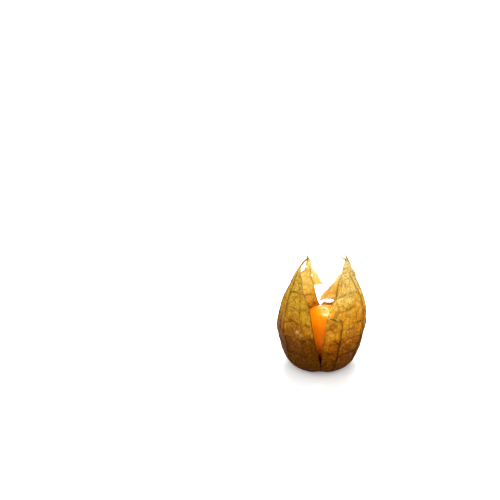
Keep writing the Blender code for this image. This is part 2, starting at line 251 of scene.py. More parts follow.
def lean(z, tip_x):
    """How far a lobe's axis stands off the middle: the tip's place times a power of the height's share."""
    return tip_x * (np.maximum(z, 0) / HUSK_HEIGHT) ** LEAN_POWER


def husk_rows():
    """For each row the radius, the height, the height that azimuths go by, and the distance from the foot.

    The azimuths of the underside are those of height 0, so the ribs run straight out from the stalk.
    """
    points = np.array(HUSK_PROFILE)
    along = np.concatenate([[0.0], np.cumsum(np.hypot(*np.diff(points, axis=0).T))])
    foot = along[UNDERSIDE_POINTS]
    s = np.linspace(0, along[-1], ROWS)
    radius = smooth(s, np.column_stack([along, points[:, 0]]))
    height = smooth(s, np.column_stack([along, points[:, 1]]))
    return radius, height, np.where(s > foot, height, 0.0), s - foot


print("rows", round(float(np.ptp(husk_rows()[3])) / (ROWS - 1), 3), "mm apart along the profile")

# %% [markdown]
# ## Where the lobes are joined, and where they are torn
#
# Below a tear the two lobes are still one husk and meet on a seam. Above it each has a free edge.
# A Boolean could cut the tears out of a whole husk, but it would leave blunt walls and slivers. Here
# each lobe simply ends at its edge, which follows the seam up to the tear and its own list above it.

# %% Seams, free edges and ribs


def seam_angle(z, radius):
    """Half the angle of the part of one lobe's circle that lies inside the other's, at each height.

    Its cosine is half the distance between the two circles' middles, over their radius.
    """
    apart = lean(z, RIGHT_TIP_X) - lean(z, LEFT_TIP_X)
    return np.degrees(np.arccos(np.clip(apart / 2 / radius, -1.0, 1.0)))


def free_edge(z, split_from, at_seam, knots):
    """The seam's azimuth up to the tear's end, and the curve through the knots above it."""
    start = float(np.interp(split_from, z, at_seam))
    return np.where(z <= split_from, at_seam, smooth(z, [(split_from, start), *knots]))


def rib_line(z, knots, last):
    """The curve through a rib's knots, kept on the clockwise side of the line before it."""
    return np.minimum(smooth(z, knots), last)


def tattered(z, azimuth, size_deg, grain):
    """A torn edge's azimuths, moved by two random fields, the second with smaller, finer bites."""
    still = 0 * z
    bites = noise(z / grain, still + 3.7, still) + 0.5 * noise(z / grain * 2.7, still + 9.1, still)
    return azimuth + size_deg * bites


print("a seam, free edges and ribs")

# %% [markdown]
# ## Panels between the ribs
#
# The paper between two ribs is a panel. One big grid round the husk could not follow the slanting
# ribs, so each panel is its own grid, and a rib is always the shared side of two of them. A panel
# knows how strong the rib at each of its sides is, with 0 for an edge that has none, and whether one
# of its sides is torn to bare, pale tissue.

# %% The left lobe's panels
Panel = namedtuple("Panel", "start end first_rib last_rib torn")


def left_panels(z, seam):
    """The left lobe's six panels, clockwise from the front. The slit parts the third from the fourth."""
    front = free_edge(z, FRONT_SPLIT_FROM, -seam, LEFT_FRONT_EDGE)
    a = rib_line(z, LEFT_RIB_A, front)
    b = rib_line(z, LEFT_RIB_B, a)
    near = rib_line(z, LEFT_SLIT_NEAR, b)
    slit_start = (SLIT_FROM, float(np.interp(SLIT_FROM, z, near)))
    far = np.where(z <= SLIT_FROM, near, smooth(z, [slit_start, *LEFT_SLIT_FAR]))
    d = rib_line(z, LEFT_RIB_D, far)
    back = rib_line(z, LEFT_BACK_RIB, d)
    flap = tattered(z, smooth(z, LEFT_BACK_FLAP), 2.4, 1.1)
    flap = np.where(z < LEFT_BACK_FLAP[0][0], back, flap)
    end = np.minimum(np.where(z <= BACK_SPLIT_FROM, seam - 360, flap), back)
    return [
        Panel(front, a, 0.7, 0.3, 0),
        Panel(a, b, 0.3, 0.8, 0),
        Panel(b, near, 0.8, 1, 0),
        Panel(far, d, 1, 0.7, 0),
        Panel(d, back, 0.7, 1, 0),
        Panel(back, end, 1, 0, 1),
    ]


print("six panels in the left lobe")

# %% [markdown]
# The right lobe runs on clockwise from its torn flap at the back to its front edge. Its panels could
# share a function with the left lobe's, but the two are torn so unlike that a second short list is
# plainer.

# %% The right lobe's panels


def right_panels(z, seam):
    """The right lobe's six panels, clockwise from the back, where its flap is torn."""
    start = free_edge(z, BACK_SPLIT_FROM, 180 - seam, RIGHT_BACK_FLAP)
    start = np.where(z > BACK_SPLIT_FROM + 0.4, tattered(z, start, 2.6, 1.0), start)
    back = rib_line(z, RIGHT_BACK_RIB, start)
    start = np.where(z > RIGHT_BACK_FLAP[-1][0], back, start)
    d = rib_line(z, RIGHT_RIB_D, back)
    c = rib_line(z, RIGHT_RIB_C, d)
    b = rib_line(z, RIGHT_RIB_B, c)
    front = free_edge(z, FRONT_SPLIT_FROM, seam - 180, RIGHT_FRONT_EDGE)
    a = np.maximum(rib_line(z, RIGHT_RIB_A, b), front)
    return [
        Panel(start, back, 0, 1, 1),
        Panel(back, d, 1, 0.7, 0),
        Panel(d, c, 0.7, 0.9, 0),
        Panel(c, b, 0.9, 1, 0),
        Panel(b, a, 1, 0.8, 0),
        Panel(a, front, 0.8, 0.35, 0),
    ]


print("six panels in the right lobe")

# %% [markdown]
# ## A panel's points on the smooth sheet
#
# A panel's point is set by two parameters: its row, which is a distance along the profile, and its
# column, which is a share of the way from one rib to the next. All points are worked out at once as
# arrays, which is much faster than a loop over them. This step only lays them out on the smooth
# sheet, and notes for each how far it is from the panel's two sides.

# %% A panel's points on the smooth sheet
COLUMNS = 17
COLUMN_CROWDING = 0.7  # how much the columns crowd towards the ribs, from 0 to 1
Places = namedtuple("Places", "radius height z s share azimuth width from_start from_end xyz")


def panel_places(rows, panel):
    """The panel's points before any relief, as arrays of (row, column) or with one of them 1 long.

    A column's share of the way is its number's share less a sine, so columns crowd at both sides.
    """
    radius, height, z, s = (v[:, None] for v in rows)
    start, end = panel.start[:, None], panel.end[:, None]
    t = np.linspace(0, 1, COLUMNS)
    share = (t - COLUMN_CROWDING * np.sin(2 * np.pi * t) / (2 * np.pi))[None, :]
    azimuth = start + (end - start) * share
    a = np.radians(azimuth)
    width = radius * np.radians(np.abs(end - start))
    xyz = radius * np.cos(a), radius * np.sin(a), height + 0 * a
    return Places(radius, height, z, s, share, azimuth, width, share * width, (1 - share) * width, xyz)


print("grids of", ROWS, "rows and", COLUMNS, "columns")

# %% [markdown]
# ## The paper's relief
#
# On a dry husk the ribs stand proud like thin cords, cross veins climb from rib to rib, and the
# paper sinks and crumples between them. A bump map would look flat against the light at the edges,
# so this relief is real: each part of it is a small field that is added to the radius.

# %% Ribs and cross veins
RIB_HEIGHT = 0.45
RIB_HALF_WIDTH = 0.42
RIB_LINE_HALF_WIDTH = 0.2  # the dark line that is painted along a rib's top
VEIN_HEIGHT = 0.28
VEIN_HALF_WIDTH = 0.3
VEIN_PITCH = 5.7
VEIN_WANDER = 1.1
VEIN_CLIMBS = (2.6, 1.3, 2.0)  # how far the veins arch up in the middle of one panel, the next and so on


def ridge(distance, half_width):
    """A bell across a rib or vein: e to the minus square of the distance over the half width."""
    return np.exp(-((distance / half_width) ** 2))


def beside_ribs(at, panel, half_width):
    """How much each place lies on one of the panel's two ribs: the higher of their two bells."""
    first = panel.first_rib * ridge(at.from_start, half_width)
    return np.maximum(first, panel.last_rib * ridge(at.from_end, half_width))


def cross_veins(at):
    """How much each place lies on a cross vein: a bell that repeats along the sheet.

    A random field moves the veins along the sheet, and another sets how strong each stretch is.
    """
    x, y, z = at.xyz
    wander = VEIN_WANDER * noise(x / 4.3, y / 4.3, z / 9.0)
    off_vein = np.abs((at.s + wander + VEIN_PITCH / 2) % VEIN_PITCH - VEIN_PITCH / 2)
    strength = 0.65 + 0.5 * noise(x / 5.1 + 9, y / 5.1, z / 5.1)
    return ridge(off_vein, VEIN_HALF_WIDTH) * ramp(at.z, 2.0, 5.0) * strength


print("ribs", RIB_HEIGHT, "mm and cross veins", VEIN_HEIGHT, "mm high")

# %% [markdown]
# Paper that dried on the plant has broad waves and small crumples, and under the foot the sepals
# bulge, with a groove between each two of them. Broad waves are sines round the axis, crumples are
# the random field, and the grooves repeat five times by a remainder of the azimuth.

# %% Crumples and the grooves of the foot
CRINKLE = 0.16
SEPALS = 5
SEPAL_DEG = 360 / SEPALS
FRONT_GROOVE_DEG = -91.5
GROOVE_HALF_WIDTH_DEG = 17.0
GROOVE_DEPTH = 0.8


def crumpling(at):
    """How far the paper is moved outwards: three sines about the axis and two random fields.

    Both fade out towards the foot, and get calmer towards the tips.
    """
    x, y, height = at.xyz
    a, z = np.radians(at.azimuth), at.z
    calm = 1 - ramp(z, 36.0, 42.0)
    waves = np.sin(7 * a + 0.31 * z) + np.sin(4 * a - 0.42 * z + 1.3) + np.sin(11 * a + 0.23 * z + 2.1)
    crumple = 0.22 * noise(x / 3.1, y / 3.1, height / 3.6) + 0.1 * noise(x / 1.3, y / 1.3, height / 1.5)
    crumple = crumple * ramp(z, 1.0, 5.0) * (0.25 + 0.75 * calm)
    return CRINKLE * waves / 2 * ramp(z, 2.0, 8.0) * calm + crumple


def foot_groove(at):
    """How far the foot is pressed up between two sepals: full in the groove, fading to its sides."""
    off = np.abs((at.azimuth - FRONT_GROOVE_DEG + SEPAL_DEG / 2) % SEPAL_DEG - SEPAL_DEG / 2)
    groove = (1 - ramp(off, 0.0, GROOVE_HALF_WIDTH_DEG)) * ramp(at.radius, 3.0, FOOT_INNER_RADIUS)
    groove = groove * (1 - ramp(at.radius, FOOT_OUTER_RADIUS + 1, 12.8))
    return groove * GROOVE_DEPTH * (at.z < HUSK_HEIGHT / 4)


print(SEPALS, "grooves", GROOVE_DEPTH, "mm deep in the foot")

# %% [markdown]
# ## Paint that goes with the mesh
#
# The material will darken the ribs and the veins, and bleach the tissue beside a tear. It could look
# for them with textures, but the numbers that raise them are known here, for each point. So they go
# with the mesh as attributes, a kind of paint, along with two measures on the sheet itself.

# %% Paint that goes with the mesh
TISSUE_REACH = 3.2  # how far bare tissue reaches in from a torn side
NET_RADIUS = 14.0  # turns an azimuth into a distance across the sheet


def panel_paint(at, panel, on_rib, on_vein, climb):
    """The panel's paint as {name: (row, column)}: from 0 to 1, and in mm for across and along.

    Tissue falls as e to the minus distance from the torn side over its reach.
    """
    shown = ramp(at.width, 0.2, 1.2) * ramp(at.radius, 2.0, 7.0)
    from_tear = np.maximum(at.from_end if panel.first_rib else at.from_start, 0)
    above_tear = ramp(at.z, BACK_SPLIT_FROM - 0.5, BACK_SPLIT_FROM + 0.8)
    paint = {
        "rib": on_rib * shown,
        "line": beside_ribs(at, panel, RIB_LINE_HALF_WIDTH) * shown,
        "vein": on_vein * (1 - on_rib),
        "tissue": panel.torn * np.exp(-from_tear / TISSUE_REACH) * above_tear,
        "across": NET_RADIUS * np.radians(at.azimuth),
        "along": at.s + climb,
    }
    return {name: value + 0 * at.azimuth for name, value in paint.items()}


print("bare tissue reaches", TISSUE_REACH, "mm in from a tear")

# %% [markdown]
# ## One panel, raised
#
# Now the fields are added up. Each point moves out along its own radius by the ribs, the veins and
# the crumples, and in by the hollow between the ribs. The middle of a panel is also lifted, which
# arches its veins, and the torn flap at the back droops under its own weight.

# %% One panel, raised
PANEL_HOLLOW = 0.38
FULL_PANEL_WIDTH = 6.0  # a narrower panel sinks and arches less
RELIEF_FADES_FROM = 36.0
FLAP_DROOP = 0.1  # mm for each degree past the flap's root
FLAP_DROOP_FROM_DEG = 80.0


def panel_grid(rows, tip_x, panel, number):
    """One panel's points and its paint: (row, column, xyz) and {name: (row, column)}.

    The radius is the profile's, plus the ribs, the veins and the crumples, less a hollow that is a
    half sine from rib to rib. The same half sine lifts the panel's middle.
    """
    at = panel_places(rows, panel)
    on_rib = beside_ribs(at, panel, RIB_HALF_WIDTH)
    on_vein = cross_veins(at)
    bulge = np.sin(np.pi * at.share) * np.minimum(1.0, at.width / FULL_PANEL_WIDTH)
    side = ramp(at.z, 1.5, 6.0) * (1 - ramp(at.z, RELIEF_FADES_FROM, HUSK_HEIGHT))
    climb = VEIN_CLIMBS[number % len(VEIN_CLIMBS)] * bulge * side

    relief = on_rib * RIB_HEIGHT - bulge * PANEL_HOLLOW + on_vein * (1 - on_rib) * VEIN_HEIGHT
    r = smooth(at.z + climb, OUTER_BY_HEIGHT) * (at.z > 0) + at.radius * (at.z == 0)
    r = r + relief * side + crumpling(at)
    past_root = np.maximum(at.azimuth - FLAP_DROOP_FROM_DEG, 0)
    droop = FLAP_DROOP * past_root * ramp(at.z, BACK_SPLIT_FROM, 18.5)
    to_core = CORE_X * (1 - ramp(at.radius, STALK_HOLE_RADIUS, FOOT_INNER_RADIUS)) * (at.z == 0)

    a = np.radians(at.azimuth)
    x = lean(at.z + climb, tip_x) + to_core + r * np.cos(a) + FOOTPRINT_SHIFT_X
    y = HUSK_DEPTH_SHARE * r * np.sin(a)
    z = at.height + foot_groove(at) + climb - droop
    points = np.stack(np.broadcast_arrays(x, y, z), axis=-1)
    return points, panel_paint(at, panel, on_rib, on_vein, climb)


print("the paper sinks", PANEL_HOLLOW, "mm between its ribs")

# %% [markdown]
# ## Both lobes
#
# Two lobes that are worked out apart don't meet to the last micron, and a gap that thin would split
# the welded sheet. So the points of both on a seam are moved to the middle between them.

# %% Both lobes


def lobe_grids(rows):
    """Every panel of both lobes. On a seam both lobes' points are set to the mean of the two."""
    z = rows[2]
    seam = seam_angle(z, rows[0])
    made = []
    for tip_x, panels in zip(TIPS_X, (left_panels(z, seam), right_panels(z, seam))):
        made.append([panel_grid(rows, tip_x, panel, number) for number, panel in enumerate(panels)])
    left, right = made
    front = (z <= FRONT_SPLIT_FROM, left[0][0][:, 0], right[-1][0][:, -1])
    back = (z <= BACK_SPLIT_FROM, left[-1][0][:, -1], right[0][0][:, 0])
    for closed, one, other in (front, back):
        one[closed] = other[closed] = (one[closed] + other[closed]) / 2
    return made


GRIDS = lobe_grids(husk_rows())
print(len(GRIDS), "lobes of", [len(lobe) for lobe in GRIDS], "panels")

# %% [markdown]
# ## Holes and bites
#
# Old paper has holes. A window in the right lobe lets the berry show, with a pinhole under it, and
# there is a pinhole in the left lobe at the back. The other ones are bites out of torn edges: two
# widen the slit, and one thins the strip under the right flap. Faces are left out wherever their
# middle lies in a ragged ellipse, which is simpler than a cut and leaves a torn look.

# %% Holes and bites
HOLES = [  # lobe (0 left, 1 right), height, azimuth, half height, half width
    (1, 25.7, -88.5, 1.3, 1.1),
    (1, 21.3, -83.5, 0.4, 0.45),
    (0, 31.5, -267.4, 0.55, 0.5),
    (0, 35.9, -238.0, 1.3, 0.85),
    (0, 37.4, -247.0, 0.9, 0.5),
    (1, 18.1, 86.0, 0.95, 1.8),
]


def in_hole(lobe, points, tip_x):
    """Which points lie in one of the lobe's holes.

    A point is inside where its squared distances across and up, each over the ellipse's half
    size, add up to less than 1 plus a random fringe.
    """
    x, y, z = points.T
    side = x - FOOTPRINT_SHIFT_X - lean(z, tip_x)
    azimuth = np.degrees(np.arctan2(y / HUSK_DEPTH_SHARE, side))
    radius = np.hypot(side, y / HUSK_DEPTH_SHARE)
    fringe = 0.3 * noise(x * 1.3, y * 1.3, z * 1.3)
    inside = np.zeros(len(points), bool)
    for owner, height, angle, half_height, half_width in HOLES:
        if owner == lobe:
            turn = (azimuth - angle + 180) % 360 - 180
            across = radius * np.radians(turn)
            inside |= (across / half_width) ** 2 + ((z - height) / half_height) ** 2 < 1 + fringe
    return inside


print(len(HOLES), "holes and bites")

# %% [markdown]
# ## The panels in one list
#
# The mesh needs one list of points and one of faces. The front half of the left tip has dried away
# to a thread, so its panels stop below the tip. Whether a point belongs to that dark front half is
# kept as one more paint, because its paper is greener and lets less light through.

# %% The panels in one list
FRONT_PANELS = 3  # the left lobe's panels in front of the slit
FRONT_ENDS_AT = 41.6


def grid_faces(rows, columns):
    """The four-cornered faces of a grid, by its points' numbers, wound to face outwards."""
    number = np.arange(rows * columns).reshape(rows, columns)
    low, high = number[:-1], number[1:]
    return np.stack([low[:, :-1], high[:, :-1], high[:, 1:], low[:, 1:]], axis=-1).reshape(-1, 4)


def husk_sheet():
    """All the panels' points, faces and paint, one panel after the other, without the holes' faces."""
    points, faces, paint, count = [], [], {"pale": []}, 0
    for lobe, (tip_x, panels) in enumerate(zip(TIPS_X, GRIDS)):
        for place, (grid, colours) in enumerate(panels):
            dark = lobe == 0 and place < FRONT_PANELS
            flat = grid.reshape(-1, 3)
            quads = grid_faces(*grid.shape[:2])
            middle = flat[quads].mean(axis=1)
            gone = in_hole(lobe, middle, tip_x) | (dark & (middle[:, 2] > FRONT_ENDS_AT))
            points.append(flat)
            faces.append(quads[~gone] + count)
            for name, value in colours.items():
                paint.setdefault(name, []).append(value.ravel())
            paint["pale"].append(np.full(len(flat), 0.0 if dark else 1.0))
            count += len(flat)
    return np.vstack(points), np.vstack(faces), {k: np.concatenate(v) for k, v in paint.items()}


print("panels of", len(grid_faces(ROWS, COLUMNS)), "faces each")

# %% [markdown]
# ## The husk as one mesh
#
# A husk is one grown piece, so its panels are welded where they meet. What a hole has cut off from
# the rest is a scrap that would float in the air. Blender's Delete Loose finds only points and edges
# that have no face, so a few lines of bmesh look for the small groups of faces as well.

# %% Weld the panels
WELD_WITHIN = 0.012
FEWEST_FACES = 60  # a smaller group of joined faces is a scrap


def drop_scraps(bm, fewest):
    """Deletes each group of joined faces that has fewer than the fewest, and returns how many went.

    A group grows from one face over its edges to all the faces that it reaches.
    """
    waiting, scraps = set(bm.faces), []
    while waiting:
        group, reached = [], [waiting.pop()]
        while reached:
            group.append(reached.pop())
            near = {face for edge in group[-1].edges for face in edge.link_faces} & waiting
            waiting -= near
            reached += near
        if len(group) < fewest:
            scraps += group
    bmesh.ops.delete(bm, geom=scraps, context="FACES")
    return len(scraps)


def husk_mesh():
    """The whole sheet as one smooth mesh, with its paint as attributes of the points."""
    points, faces, paint = husk_sheet()
    mesh = bpy.data.meshes.new("husk_paper_sheet")
    mesh.from_pydata(points * MM, [], faces)
    for name, values in paint.items():
        layer = mesh.attributes.new(name, "FLOAT", "POINT")
        layer.data.foreach_set("value", values.astype(np.float32))
    bm = bmesh.new()
    bm.from_mesh(mesh)
    bmesh.ops.remove_doubles(bm, verts=bm.verts, dist=WELD_WITHIN * MM)
    bmesh.ops.dissolve_degenerate(bm, edges=bm.edges, dist=WELD_WITHIN / 3 * MM)
    print("faces of scraps taken away:", drop_scraps(bm, FEWEST_FACES))
    bmesh.ops.delete(bm, geom=[edge for edge in bm.edges if not edge.link_faces], context="EDGES")
    bmesh.ops.delete(bm, geom=[vert for vert in bm.verts if not vert.link_faces], context="VERTS")
    bm.to_mesh(mesh)
    bm.free()
    mesh.shade_smooth()
    return mesh


print("a scrap has fewer than", FEWEST_FACES, "faces")

# %% [markdown]
# The paper of a real husk is about a tenth of a millimetre thick, and here it is twice that, so that
# its rims can be seen. An inner wall made by hand would double the work. A Solidify modifier makes it
# from the outer one, with a second material for the inner side and the torn rims.

# %% Give the paper its thickness
PAPER = 0.22

husk = bpy.data.objects.new("husk_paper_skin", husk_mesh())
bpy.context.scene.collection.objects.link(husk)
wall = husk.modifiers.new("paper", "SOLIDIFY")
wall.thickness = PAPER * MM
wall.offset = -1.0
wall.use_even_offset = False
wall.material_offset = 1
wall.material_offset_rim = 1
print("husk sheet of", len(husk.data.polygons), "faces,", PAPER, "mm thick")

# %% [markdown]
# ## Dry threads at the tips
#
# The tips of the sepals dry to fine, curled threads, and one arches over the slit where the left
# tip's front half used to be. A curve with a bevel would do, but a ring of points carried along a
# path gives each thread its own taper and closed, pointed ends.

# %% Threads
THREAD_SIDES = 7
THREAD_RINGS = 24


def tube(path, radii, sides):
    """Points and faces of a round thread: a ring about each point of the path, square to it."""
    path, radii = np.array(path, float), np.array(radii, float)
    way = np.gradient(path, axis=0)
    way /= np.linalg.norm(way, axis=1)[:, None]
    first = np.cross(way, (0.0, 1.0, 0.0))
    first /= np.linalg.norm(first, axis=1)[:, None]
    second = np.cross(way, first)
    turn = np.linspace(0, 2 * np.pi, sides, endpoint=False)
    ring = np.cos(turn)[None, :, None] * first[:, None] + np.sin(turn)[None, :, None] * second[:, None]
    rings = path[:, None] + radii[:, None, None] * ring
    number = np.arange(len(path) * sides).reshape(len(path), sides)
    after = np.roll(number, -1, axis=1)
    faces = np.stack([number[:-1], after[:-1], after[1:], number[1:]], axis=-1).reshape(-1, 4)
    return rings.reshape(-1, 3), faces


def thread(thick, knots):
    """A thread through the knots, thickest a third of the way up, where it leaves the paper.

    Its radius swells from 15 percent of thick to the whole, thins to half, and is 0 at both ends.
    """
    knots = np.array(knots, float)
    place = np.linspace(0, len(knots) - 1, THREAD_RINGS)
    path = np.column_stack([smooth(place, list(enumerate(knots[:, k]))) for k in range(3)])
    share = np.linspace(0, 1, THREAD_RINGS)
    radii = thick * (0.15 + 0.85 * ramp(share, 0.0, 0.35)) * (1 - 0.5 * ramp(share, 0.3, 1.0))
    radii[0] = radii[-1] = 0.0
    return tube(path, radii, THREAD_SIDES)


THREADS = [
    thread(0.36, [
        (-8.3, -0.3, 38.8), (-7.3, -0.3, 41.1), (-6.3, -0.3, 42.7), (-5.6, -0.3, 43.3), (-4.6, -0.3, 43.3),
    ]),
    thread(0.3, [(-5.8, 0.9, 39.4), (-5.6, 0.7, 42.2), (-5.4, 0.3, 44.0), (-5.3, 0.1, 45.3)]),
    thread(0.36, [(10.0, -0.6, 40.4), (9.3, -0.5, 42.6), (8.7, -0.4, 44.1), (8.1, -0.4, 45.5)]),
    thread(0.3, [(9.2, -0.9, 41.6), (8.4, -0.9, 43.2), (7.0, -0.8, 44.1), (5.0, -0.8, 44.6)]),
]
print(len(THREADS), "threads, the highest ends at", max(ring[:, 2].max() for ring, _ in THREADS), "mm")

# %% [markdown]
# The threads have one finish and never move apart, so one mesh holds them all. The points of each
# end ring lie on one spot and are merged there, because a solid thread has no open end.

# %% The threads as one piece


def threads_mesh():
    """All the threads in one mesh, each with the points of its two end rings merged to one."""
    count = THREAD_RINGS * THREAD_SIDES
    points = np.vstack([ring for ring, _ in THREADS])
    faces = np.vstack([quads + count * number for number, (_, quads) in enumerate(THREADS)])
    mesh = bpy.data.meshes.new("husk_threads")
    mesh.from_pydata(points * MM, [], faces)
    bm = bmesh.new()
    bm.from_mesh(mesh)
    bmesh.ops.remove_doubles(bm, verts=bm.verts, dist=0.002 * MM)
    bm.to_mesh(mesh)
    bm.free()
    mesh.shade_smooth()
    return mesh


threads = bpy.data.objects.new("husk_threads", threads_mesh())
bpy.context.scene.collection.objects.link(threads)
print("threads of", len(threads.data.polygons), "faces")

# %% [markdown]
# ## A closed turned piece
#
# The berry and the stalk are both turned, and both have small departures from the round that a Screw
# modifier can't give. So both are rings of points, and the first and the last ring are drawn to one
# point, which closes the poles without a seam.

# %% A closed turned piece


def closed_grid(name, x, y, z):
    """A closed mesh from rings of points (ring, step), with its first and last ring drawn to a point."""
    rings, steps = x.shape
    points = np.stack([x, y, z], axis=-1)
    first, final = points[:1].mean(axis=1), points[-1:].mean(axis=1)
    flat = np.vstack([first, points[1:-1].reshape(-1, 3), final])
    number = np.arange((rings - 2) * steps).reshape(rings - 2, steps) + 1
    after = np.roll(number, -1, axis=1)
    quads = np.stack([number[:-1], number[1:], after[1:], after[:-1]], axis=-1).reshape(-1, 4).tolist()
    last = len(flat) - 1
    top = np.stack([np.zeros(steps, int), number[0], after[0]], axis=-1).tolist()
    bottom = np.stack([number[-1], np.full(steps, last), after[-1]], axis=-1).tolist()
    mesh = bpy.data.meshes.new(name)
    mesh.from_pydata(flat * MM, [], quads + top + bottom)
    mesh.shade_smooth()
    made = bpy.data.objects.new(name, mesh)
    bpy.context.scene.collection.objects.link(made)
    return made


print("turned pieces are closed at both poles")

# %% [markdown]
# ## The berry
#
# The berry is nearly a ball, a little less tall than wide, with a dimple where the stalk joins it, a
# faint hollow at the crown and a tiny scar where the flower's style fell off. A UV sphere has evenly
# spread rings. Here they crowd at the poles, where the small forms are.

# %% The berry
BERRY_RADIUS = 10.0
BERRY_HALF_HEIGHT = 9.8
BERRY_CENTRE = (CORE_X + FOOTPRINT_SHIFT_X, 0.0, 12.3)
BERRY_DIMPLE_REACH = 3.6
BERRY_DIMPLE_DEPTH = 0.9
BERRY_CROWN_REACH = 5.2
BERRY_CROWN_HOLLOW = 0.3
BERRY_UNEVEN = 0.006  # share of the radius
SCAR_RADIUS = 0.5
SCAR_HEIGHT = 0.28


def bell(r, reach):
    """1 on the axis, falling along a cosine to 0 at the radius reach."""
    return (1 + np.cos(np.pi * np.minimum(r / reach, 1))) / 2


def berry_object(rings=120, steps=160):
    """An ellipse turned about Z, pressed in at both ends, with a scar on top and faint uneven swells."""
    turn = np.linspace(0, 1, rings)
    angle = (np.pi * turn - 0.35 * np.sin(2 * np.pi * turn))[:, None]
    round_z = np.linspace(0, 2 * np.pi, steps, endpoint=False)[None, :]
    r = BERRY_RADIUS * np.sin(angle) + 0 * round_z
    z = BERRY_HALF_HEIGHT * np.cos(angle) + 0 * round_z
    z = z - BERRY_CROWN_HOLLOW * bell(r, BERRY_CROWN_REACH) * (z > 0)
    z = z + BERRY_DIMPLE_DEPTH * bell(r, BERRY_DIMPLE_REACH) * (z < 0)
    z = z + SCAR_HEIGHT * bell(r, SCAR_RADIUS) * (z > 0)
    x, y = np.cos(round_z), np.sin(round_z)
    swell = 1 + noise(r * x / 7 + 3, r * y / 7, z / 7)
    uneven = 1 - BERRY_UNEVEN * swell * ramp(r, 3, 8)
    cx, cy, cz = BERRY_CENTRE
    return closed_grid("berry_skin_fine", r * x * uneven + cx, r * y * uneven + cy, z + cz)


berry = berry_object()
print("berry of", len(berry.data.polygons), "faces,", 2 * BERRY_RADIUS, "mm across")

# %% [markdown]
# ## The stalk
#
# Only a stub of the stalk is left. It comes through the hole in the husk's foot, widens to a pad in
# the berry's dimple, and was cut off below. It is turned from a profile, and its low ridges and the
# rough cut are added to the radius and to the height.

# %% The stalk
STALK_RADIUS = 1.15
STALK_CUT_HEIGHT = 0.35
STALK_PAD_RADIUS = 1.75
STALK_PAD_TOP = 3.1
STALK_RIDGES = 8
STALK_RIDGE_DEPTH = 0.07
STALK_PROFILE = [
    (0.0, STALK_PAD_TOP), (0.6, STALK_PAD_TOP - 0.03), (1.2, STALK_PAD_TOP - 0.12),
    (1.6, STALK_PAD_TOP - 0.3), (STALK_PAD_RADIUS, STALK_PAD_TOP - 0.5), (1.6, STALK_PAD_TOP - 0.75),
    (1.3, STALK_PAD_TOP - 0.95), (STALK_RADIUS, STALK_PAD_TOP - 1.15), (STALK_RADIUS, 1.5),
    (STALK_RADIUS, 0.9), (STALK_RADIUS, STALK_CUT_HEIGHT + 0.12), (STALK_RADIUS - 0.1, STALK_CUT_HEIGHT),
    (0.75, STALK_CUT_HEIGHT + 0.06), (0.4, STALK_CUT_HEIGHT + 0.02), (0.0, STALK_CUT_HEIGHT + 0.12),
]


def stalk_object(steps=48):
    """The profile turned about Z, less a cosine that makes the ridges, with a random field on the cut."""
    r, z = (v[:, None] for v in np.array(STALK_PROFILE).T)
    turn = np.linspace(0, 2 * np.pi, steps, endpoint=False)[None, :]
    ridged = r - STALK_RIDGE_DEPTH * (1 + np.cos(STALK_RIDGES * turn)) / 2 * ramp(r, 0.5, 1.1)
    rough = 0.05 * noise(3 * r * np.cos(turn), 3 * r * np.sin(turn), 3 * z + 0 * turn) * (z < 0.6)
    cx = BERRY_CENTRE[0]
    return closed_grid("stalk_fine", ridged * np.cos(turn) + cx, ridged * np.sin(turn), z + np.abs(rough))


stalk = stalk_object()
print("stalk of", len(stalk.data.polygons), "faces")

# %% [markdown]
# ## Building a material in code
#
# A material is a tree of nodes, and its colours are amounts of light. Those are hard to picture, so
# colours are written here as the eye sees them, 0 to 255 as on a screen, and turned to the linear
# light that Blender works in.

# %% Colours


def linear(r, g, b):
    """The linear colour of an sRGB colour given as 0 to 255, by the sRGB standard's curve."""
    c = np.array([r, g, b]) / 255.0
    c = np.where(c <= 0.04045, c / 12.92, ((c + 0.055) / 1.055) ** 2.4)
    return (*(float(v) for v in c), 1.0)


print("mid grey in linear light", round(linear(128, 128, 128)[0], 3))

# %% [markdown]
# In the editor each node is added and wired by hand. In a script that takes several lines a node. A
# small helper adds a node, sets it up and wires its inputs in one line, so that a finish further
# down reads like a list of its layers.

# %% A node tree


class Nodes:
    """One material's node tree."""

    def __init__(self, name):
        """A new material, with an empty node tree to fill."""
        self.material = bpy.data.materials.new(name)
        self.material.use_nodes = True
        self.tree = self.material.node_tree
        self.tree.nodes.clear()

    def add(self, kind, inputs, **settings):
        """A node with its settings, and its inputs linked to sockets or set to values."""
        node = self.tree.nodes.new(kind)
        for name, value in settings.items():
            setattr(node, name, value)
        for socket, value in inputs.items():
            if isinstance(value, bpy.types.NodeSocket):
                self.tree.links.new(value, node.inputs[socket])
            else:
                node.inputs[socket].default_value = value
        return node

    def paint(self, name):
        """The value of one of the mesh's attributes."""
        return self.add("ShaderNodeAttribute", {}, attribute_name=name).outputs["Fac"]

    def place(self):
        """The place on the piece in metres."""
        return self.add("ShaderNodeTexCoord", {}).outputs["Object"]

    def height(self, place):
        """The place's Z."""
        return self.add("ShaderNodeSeparateXYZ", {0: place}).outputs["Z"]

    def finish(self, shader):
        """The material, with the shader as its surface."""
        self.add("ShaderNodeOutputMaterial", {"Surface": shader.outputs[0]})
        return self.material


print("a helper for node trees")

# %% [markdown]
# Most layers need the same few nodes: a sum, a value moved to another range, a colour laid over
# another, a ramp, a noise, a distance and a bump. Each gets a short name of its own.

# %% Sums, colours and textures


